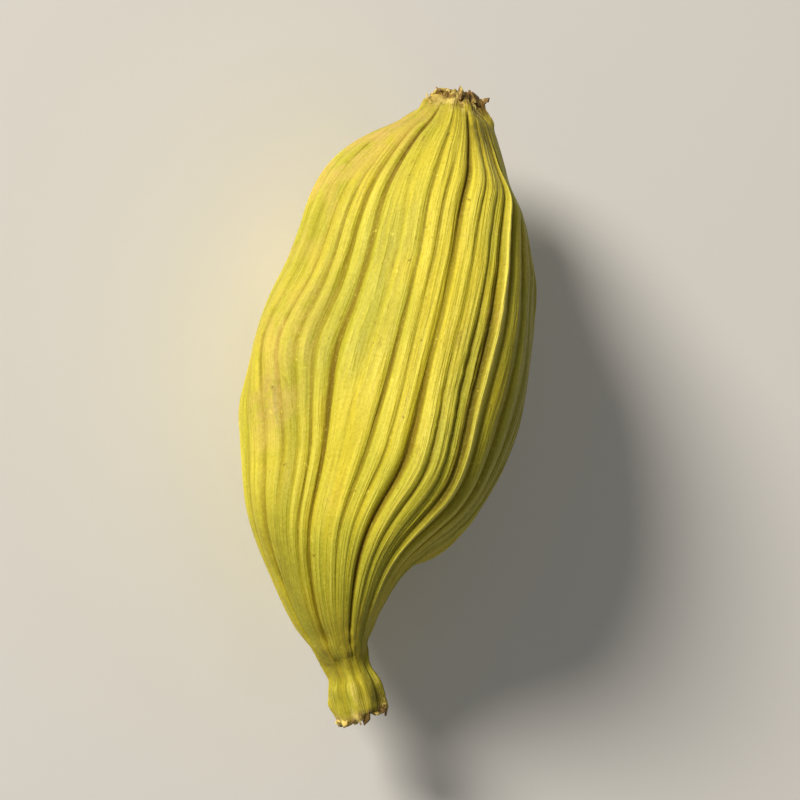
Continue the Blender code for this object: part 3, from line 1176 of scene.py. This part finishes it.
    def mesh_object(
        self, points: np.ndarray, masks: Mapping[Mask, np.ndarray]
    ) -> bpy.types.Object:
        """Joins the rings into a closed mesh and stores the attributes.

        Args:
            points: Points of every ring.
            masks: Numbers or vectors for every point.

        Returns:
            The object.
        """
        rings, columns = points.shape[:2]
        form = self.form
        index = np.arange(rings * columns).reshape(rings, columns)
        beside = np.roll(index, -1, axis=1)
        quads = np.stack([index[:-1], beside[:-1], beside[1:], index[1:]], axis=-1).reshape(-1, 4)
        first, last = rings * columns, rings * columns + 1
        scar = [(first, int(b), int(a)) for a, b in zip(index[0], beside[0])]
        floor = [(last, int(a), int(b)) for a, b in zip(index[-1], beside[-1])]
        poles = form.middle_line(np.array([form.scar_middle, form.hollow_floor]))
        vertices = np.concatenate([points.reshape(-1, 3), poles])
        mesh = bpy.data.meshes.new("pod_husk_base")
        mesh.from_pydata(vertices.tolist(), [], quads.tolist() + scar + floor)
        for mask, values in masks.items():
            parts = values.shape[2:]
            full = np.broadcast_to(values, (rings, columns, *parts)).reshape(-1, *parts)
            store_on(mesh, mask, np.concatenate([full, full[:1], full[-1:]]))
        return placed("pod_husk_base", mesh)

    def sizes(self) -> dict[str, float]:
        """Sizes of the fine relief, in the order in which the geometry nodes take them.

        Returns:
            The sizes, under the names of the tree's inputs.
        """
        return {
            "Lines per rib": self.lines_per_rib,
            "Line depth": self.line_depth,
            "Vein height": self.vein_height,
            "Wrinkle height": self.wrinkle_height,
            "Crinkle height": self.crinkle_height,
            "Crust height": self.crust_height,
            "Knob height": self.knob_height,
        }

    def rib_tree(self) -> GeometryWriter:
        """Geometry nodes that raise the ribs, the veins between them, the wrinkles and the crust.

        Returns:
            The tree's writer.
        """
        writer = GeometryWriter("raise_ribs")
        lines, line_depth, vein_size, wrinkle_size, crinkle_size, crust_size, knob_size = (
            writer.size(name) for name in self.sizes()
        )
        material = writer.size("Material", "NodeSocketMaterial")
        rib_place, fine = writer.read(Mask.PLACE), writer.read(Mask.FINE)
        outward, fibres = (
            writer.read(mask, "FLOAT_VECTOR") for mask in (Mask.OUTWARD, Mask.FIBRES)
        )
        # The ribs: a crest in the middle of each, and a groove on both sides.
        across = abs((rib_place + 0.5) % 1.0 - 0.5) * 2.0
        toward = across ** writer.read(Mask.PROFILE)
        depth = writer.read(Mask.GROOVE) + writer.read(Mask.PLEAT)
        height = writer.read(Mask.CREST) * (1.0 - toward) - depth * toward
        geometry = writer.moved(writer.geometry(), outward, height)
        groove = across.rise(self.groove_from, 1.0) * depth / self.full_groove
        geometry = writer.store(geometry, Mask.IN_GROOVE, groove)
        crest = (1.0 - across).rise(self.crest_from, 1.0) * writer.read(Mask.CREST)
        crest = crest / self.full_crest
        geometry = writer.store(geometry, Mask.ON_CREST, crest)
        # Fine lines that wander along the ribs.
        lengthwise = writer.drawn_out(fibres, self.vein_stretch)
        wander = writer.noise(writer.drawn_out(fibres, self.wander_stretch), 0.8, 1.0)
        strength = writer.noise(lengthwise, 1.9, 1.0).rise(*self.line_patches)
        line = abs((rib_place * lines + wander * self.line_wander) % 1.0 - 0.5) * 2.0
        line = line**self.line_sharpness * strength * fine
        geometry = writer.store(geometry, Mask.IN_LINE, line)
        # Veins along the pod, and wrinkles and crinkles across it.
        vein = writer.swing(writer.noise(lengthwise, 2.6, 3.0, 0.6), vein_size)
        around = self.wrinkle_stretch
        crossing = writer.vector("MULTIPLY", fibres, (around, around, 1.0))
        wrinkle = writer.swing(writer.noise(crossing, 1.5, 3.0), wrinkle_size)
        crinkle = writer.swing(writer.noise(crossing, 3.6, 2.0), crinkle_size)
        wrinkle = wrinkle + crinkle * writer.read(Mask.CRINKLED)
        kept = fine * (1.0 - self.relief_at_ends) + self.relief_at_ends
        relief = (vein + wrinkle) * kept - line * line_depth
        # The crust and the knobs of the two dry ends.
        place = writer.spot()
        crust = writer.swing(writer.noise(place, 2.6, 4.0, 0.62), crust_size)
        crust = crust * writer.read(Mask.DRY) * (1.0 - fine)
        knob = writer.swing(writer.noise(place, 1.15, 2.0), knob_size)
        crust = crust + knob * (1.0 - fine).rise(self.knobs_from, 1.0)
        geometry = writer.moved(geometry, writer.wire("GeometryNodeInputNormal"), relief + crust)
        writer.end(geometry, material)
        return writer

    def build(self) -> tuple[bpy.types.Object, np.ndarray]:
        """Builds the husk and lays it where the solid lies.

        Returns:
            The object, and the shift from the form's own coordinates to the frame's.
        """
        sizes = {**self.sizes(), "Material": self.finish.material()}
        mesh = self.rib_tree().apply(self.base(), sizes)
        mesh.name = "pod_husk"
        shift = self.lay_down(mesh)
        mesh.shade_smooth()
        return placed("pod_husk", mesh), shift

    def lay_down(self, mesh: bpy.types.Mesh) -> np.ndarray:
        """Moves the mesh to where the solid lies, and presses the flat spot.

        Args:
            mesh: The husk's mesh.

        Returns:
            The shift.
        """
        points = np.empty(len(mesh.vertices) * 3, dtype=np.float32)
        mesh.vertices.foreach_get("co", points)
        points = points.reshape(-1, 3)
        low, high = (np.array(corner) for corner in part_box(NODE))
        shift = (low + high) / 2 - (points.min(axis=0) + points.max(axis=0)) / 2
        shift[2] = -self.flat_spot_depth - points[:, 2].min()
        points += shift
        points[:, 2] = np.maximum(points[:, 2], 0.0)
        mesh.vertices.foreach_set("co", points.reshape(-1))
        mesh.update()
        return shift


@dataclass
class EndFibres:
    """Short frayed fibres that stand on the ring where the pod has broken off.

    The curl gives a fibre's foot, bend and tip, outward and up, as shares of its length.
    """

    form: PodForm
    end: End
    count: int
    length: float
    width: float
    thickness: float
    ring: Span
    ring_width: float
    lean: float
    seed: int
    finish: FibreFinish = field(default_factory=FibreFinish)
    ring_steps: int = 48
    strand_steps: int = 6
    strand_sides: int = 8
    tip_narrowing: float = 0.75
    curl: Outline = ((0.0, -0.30), (0.05, 0.75), (0.62, 0.70))
    scales: Span = (0.40, 1.0)
    wear: float = 0.22 * MM
    wear_scale: float = 3.5
    # The side of the ring that is browned: partly brown strands, partly painted shade away from the
    # key light.
    brown_and_shaded_side: float = 35 * DEGREE

    def base(self, shift: np.ndarray) -> bpy.types.Object:
        """A narrow band along the ring, that the fibres stand on.

        Args:
            shift: From the form's own coordinates to the frame's.

        Returns:
            The object.
        """
        share, radius = self.ring
        level, upward, _ = (axis[0] for axis in self.form.ring_axes(np.array([share])))
        middle = self.form.middle_line(np.array([share]))[0] + shift
        turn = np.linspace(0.0, WHOLE_TURN, self.ring_steps, endpoint=False)
        outward = np.outer(np.cos(turn), level) + np.outer(np.sin(turn), upward)
        edges = (radius - self.ring_width / 2, radius + self.ring_width / 2)
        points = [middle + outward * (edge * self.form.uneven(turn))[:, None] for edge in edges]
        steps = self.ring_steps
        faces = [(n, (n + 1) % steps, (n + 1) % steps + steps, n + steps) for n in range(steps)]
        if self.end is End.BEAK:
            faces = [face[::-1] for face in faces]
        mesh = bpy.data.meshes.new("ring")
        mesh.from_pydata(np.concatenate(points).tolist(), [], faces)
        # Browning round the ring, strongest on one side: partly brown strands, partly painted shade
        # on the side away from the light.
        store_on(mesh, Mask.BROWNED_AND_SHADED, np.tile(0.5 + 0.5 * np.cos(turn - self.brown_and_shaded_side), 2))
        return placed("ring", mesh)

    def strand(self, writer: GeometryWriter, length: Wire, width: Wire, thickness: Wire) -> Wire:
        """One curled flat strand that narrows towards its tip.

        Args:
            writer: The tree's writer.
            length: Its length.
            width: Its width at the foot.
            thickness: Its thickness.

        Returns:
            The strand's mesh.
        """
        foot, bend, tip = (
            writer.wire("ShaderNodeCombineXYZ", None, {0: length * out, 2: length * up})
            for out, up in self.curl
        )
        inputs = {"Resolution": self.strand_steps, "Start": foot, "Middle": bend, "End": tip}
        curve = writer.wire("GeometryNodeCurveQuadraticBezier", None, inputs)
        along = writer.wire("GeometryNodeSplineParameter")
        inputs = {"Curve": curve, "Radius": 1.0 - along**2.0 * self.tip_narrowing}
        curve = writer.wire("GeometryNodeSetCurveRadius", None, inputs)
        inputs = {"Resolution": self.strand_sides, "Radius": 0.5}
        circle = writer.wire("GeometryNodeCurvePrimitiveCircle", None, inputs)
        shape = writer.wire("ShaderNodeCombineXYZ", None, {0: thickness, 1: width, 2: 1.0})
        inputs = {"Geometry": circle, "Scale": shape}
        flat = writer.wire("GeometryNodeTransform", None, inputs)
        inputs = {"Curve": curve, "Profile Curve": flat, "Fill Caps": True}
        return writer.wire("GeometryNodeCurveToMesh", None, inputs)

    def sizes(self) -> dict[str, float]:
        """Sizes of the fibres, in the order in which the geometry nodes take them.

        Returns:
            The sizes, under the names of the tree's inputs.
        """
        return {
            "Density": self.count / (WHOLE_TURN * self.ring[1] * self.ring_width),
            "Length": self.length,
            "Width": self.width,
            "Thickness": self.thickness,
            "Wear": self.wear,
            "Lean": self.lean,
        }

    def tree(self) -> GeometryWriter:
        """Geometry nodes that scatter the strands over the ring.

        Returns:
            The tree's writer.
        """
        writer = GeometryWriter("fray_" + self.end.value)
        density, length, width, thickness, wear, lean = (
            writer.size(name) for name in self.sizes()
        )
        material = writer.size("Material", "NodeSocketMaterial")
        settings = {"distribute_method": "RANDOM"}
        inputs = {"Mesh": writer.geometry(), "Density": density, "Seed": self.seed}
        points = writer.add("GeometryNodeDistributePointsOnFaces", settings, inputs)
        place, standing = (Wire(writer, points.outputs[name]) for name in ("Points", "Rotation"))
        turn = writer.random(0.0, WHOLE_TURN, self.seed + 1)
        tilt = writer.random(-1.0, 1.0, self.seed + 2) * lean
        scale = writer.random(*self.scales, self.seed + 3)
        spin = writer.wire("ShaderNodeCombineXYZ", None, {0: tilt, 2: turn})
        inputs = {"Rotation": standing, "Rotate By": spin}
        rotation = writer.wire("FunctionNodeRotateRotation", {"rotation_space": "LOCAL"}, inputs)
        strand = self.strand(writer, length, width, thickness)
        inputs = {"Points": place, "Instance": strand, "Rotation": rotation, "Scale": scale}
        strands = writer.wire("GeometryNodeInstanceOnPoints", None, inputs)
        strands = writer.wire("GeometryNodeRealizeInstances", None, {"Geometry": strands})
        inputs = {"Vector": writer.spot(), "Scale": self.wear_scale, "Detail": 2.0}
        noise = writer.wire("ShaderNodeTexNoise", None, inputs, "Color")
        worn = writer.vector("SUBTRACT", noise, (0.5, 0.5, 0.5))
        writer.end(writer.moved(strands, worn, wear), material)
        return writer

    def build(self, shift: np.ndarray) -> bpy.types.Object:
        """Builds the fibres.

        Args:
            shift: From the form's own coordinates to the frame's.

        Returns:
            The object.
        """
        sizes = {**self.sizes(), "Material": self.finish.material()}
        mesh = self.tree().apply(self.base(shift), sizes)
        mesh.name = self.end.value + "_fibres"
        mesh.shade_smooth()
        return placed(mesh.name, mesh)


@dataclass
class Studio:
    """Plain pale floor, soft light from the left, and the camera.

    A light's direction is given as right, up and towards the camera, and its power in watts.
    """

    looks_past_beak: float = 12 * DEGREE
    looks_round: float = 27 * DEGREE
    lean: float = 8 * DEGREE
    distance: float = 0.128
    lens: float = 200.0
    sensor: float = 36.0
    clip: Span = (0.01, 10.0)
    floor_reach: float = 1.2
    world: Colour = (1.0, 0.98, 0.94, 1.0)
    world_strength: float = 0.155
    light_size: float = 0.14
    light_distance: float = 0.40
    key_power: float = 1.87
    key_from: Direction = (-0.57, 0.66, 0.95)
    key_colour: Tint = (1.0, 0.94, 0.84)
    fill_power: float = 0.030
    fill_from: Direction = (0.9, -0.3, 0.6)
    fill_colour: Tint = (1.0, 1.0, 1.0)

    def axes(self) -> tuple[Vector, Vector, Vector]:
        """The picture's directions.

        Returns:
            Right, up and towards the camera.
        """
        tilt = (math.tan(self.looks_past_beak), -math.tan(self.looks_round), 1.0)
        away = Vector(tilt).normalized()
        stalkward = Vector((-1.0, 0.0, 0.0))
        up = (stalkward - away * stalkward.dot(away)).normalized()
        up = Matrix.Rotation(self.lean, 3, away) @ up
        return up.cross(away), up, away

    def build(self, target: Vector) -> None:
        """Builds the whole studio.

        Args:
            target: What the camera looks at.
        """
        scene = bpy.context.scene
        scene.view_settings.view_transform = "Standard"
        self.add_world(scene)
        self.add_floor()
        self.add_light("key", target, self.key_from, self.key_power, self.key_colour)
        self.add_light("fill", target, self.fill_from, self.fill_power, self.fill_colour)
        self.add_camera(scene, target)

    def add_world(self, scene: bpy.types.Scene) -> None:
        """Adds an even pale surrounding.

        Args:
            scene: The scene.
        """
        scene.world = bpy.data.worlds.new("studio")
        scene.world.use_nodes = True
        background = scene.world.node_tree.nodes["Background"]
        background.inputs["Color"].default_value = self.world
        background.inputs["Strength"].default_value = self.world_strength

    def add_floor(self) -> None:
        """Adds the floor as a wide sheet."""
        reach = self.floor_reach
        corners = [(reach * x, reach * y, 0.0) for x, y in ((-1, -1), (1, -1), (1, 1), (-1, 1))]
        mesh = bpy.data.meshes.new("floor")
        mesh.from_pydata(corners, [], [(0, 1, 2, 3)])
        mesh.materials.append(FloorFinish().material())
        floor = placed("floor", mesh)

    def add_light(
        self, name: str, target: Vector, direction: Direction, power: float, colour: Tint
    ) -> None:
        """Adds one soft light.

        Args:
            name: Name of the light.
            target: What it shines on.
            direction: Where it stands.
            power: Its power.
            colour: Its colour.
        """
        toward = sum((axis * part for axis, part in zip(self.axes(), direction)), Vector())
        toward.normalize()
        lamp = bpy.data.lights.new(name, "AREA")
        lamp.shape = "DISK"
        lamp.size = self.light_size
        lamp.energy = power
        lamp.color = colour
        light = placed(name, lamp)
        light.location = target + toward * self.light_distance
        light.rotation_euler = toward.to_track_quat("Z", "Y").to_euler()

    def add_camera(self, scene: bpy.types.Scene, target: Vector) -> None:
        """Adds the camera.

        Args:
            scene: The scene.
            target: What it looks at.
        """
        right, up, away = self.axes()
        data = bpy.data.cameras.new("camera")
        data.lens = self.lens
        data.sensor_width = self.sensor
        data.clip_start, data.clip_end = self.clip
        scene.camera = placed("camera", data)
        turn = Matrix((right, up, away)).transposed().to_4x4()
        turn.translation = target + away * self.distance
        scene.camera.matrix_world = turn


def declare(piece: bpy.types.Object, *replaced: str) -> None:
    """Tells the frame what a piece rides on and what it stands for.

    Args:
        piece: The piece.
        replaced: Solids that it stands for.
    """
    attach(piece, BODY)
    if replaced:
        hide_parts(*replaced)
    log.info("%s: %d faces", piece.name, len(piece.data.polygons))


def main() -> None:
    """Builds the pod and its studio."""
    logging.basicConfig(level=logging.INFO, format="%(name)s: %(message)s")
    form = PodForm()
    husk, shift = Husk(form, RibTable(form)).build()
    declare(husk, NODE)
    stalk_fibres = EndFibres(
        form=form,
        end=End.STALK,
        count=24,
        length=0.36 * MM,
        width=0.26 * MM,
        thickness=0.07 * MM,
        ring=(0.014, 0.62 * MM),
        ring_width=0.46 * MM,
        lean=0.9,
        seed=5,
    )
    beak_fibres = EndFibres(
        form=form,
        end=End.BEAK,
        count=20,
        length=0.30 * MM,
        width=0.24 * MM,
        thickness=0.05 * MM,
        ring=(0.992, 0.66 * MM),
        ring_width=0.14 * MM,
        lean=0.8,
        seed=23,
    )
    for fibres in (stalk_fibres, beak_fibres):
        declare(fibres.build(shift))
    low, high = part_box(NODE)
    Studio().build(Vector((low + high) / 2))


if __name__ == "__main__":
    main()
